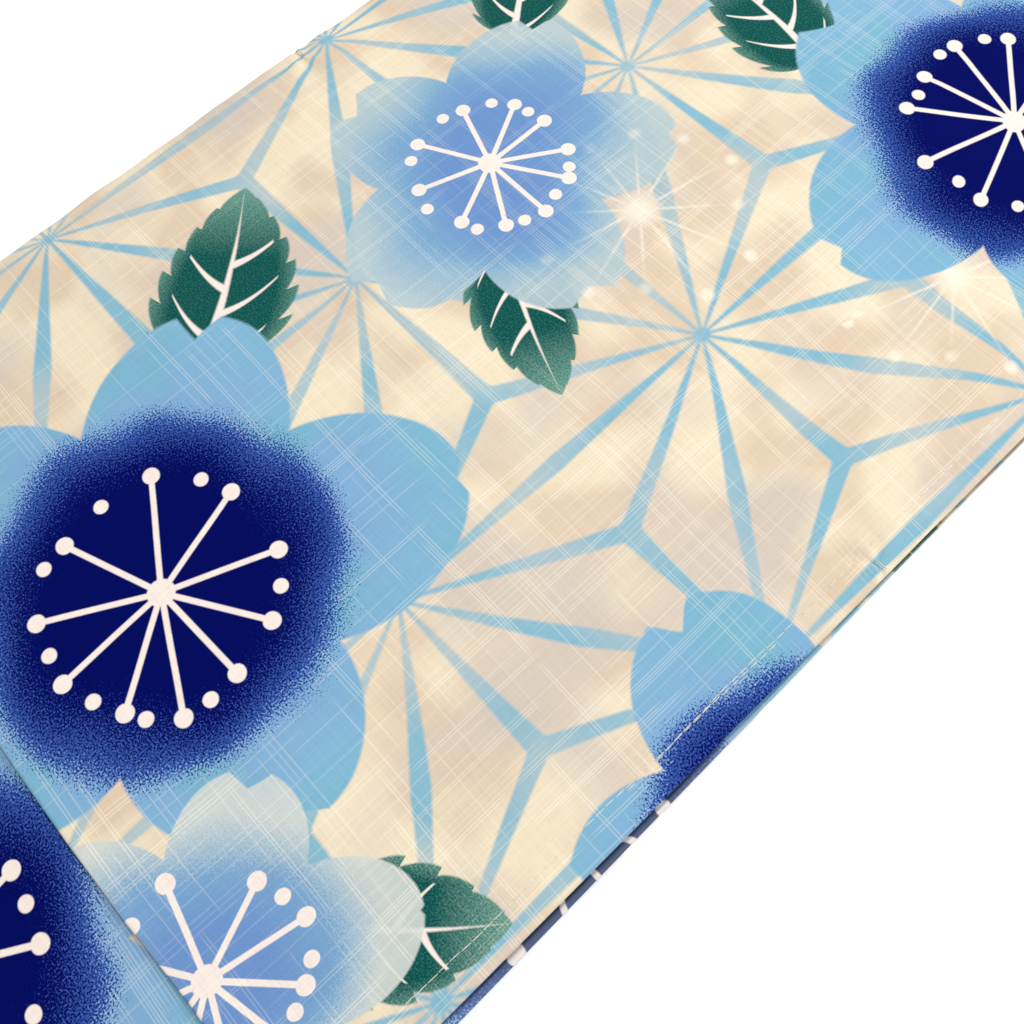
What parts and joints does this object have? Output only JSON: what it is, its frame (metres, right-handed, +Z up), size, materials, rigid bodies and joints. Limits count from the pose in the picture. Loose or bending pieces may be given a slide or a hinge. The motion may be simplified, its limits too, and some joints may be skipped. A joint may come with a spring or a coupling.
{
  "type": "folded cotton yukata robe",
  "caption": "Cotton yukata folded flat with its back uppermost, a wide sleeve laid over the back panel, printed with large blossoms, leaves and a hemp-leaf lattice.",
  "frame": {"origin": "middle of the folded pile's bounding box, on the surface that the pile rests on", "axes": "+X along the robe towards its shoulder end, +Y towards the side seams and armholes, +Z up from the surface"},
  "size_m": [0.8399, 0.3365, 0.0208],
  "materials": {
    "printed_cotton": "slubbed plain-weave cotton, cream ground with a blue, navy and green print",
    "printed_cotton_under": "the same printed cotton where other layers cover most of it",
    "folded_cotton": "edges of folded layers of the printed cotton",
    "collar_cotton": "matte plain-weave cotton under the collar cover"
  },
  "bodies": {
    "root": {"left_sleeve": "printed_cotton", "right_sleeve": "printed_cotton_under", "left_back": "printed_cotton", "right_back": "printed_cotton_under", "folded_fronts": "folded_cotton", "collar": "collar_cotton", "collar_cover": "printed_cotton"}
  },
  "joints": []
}
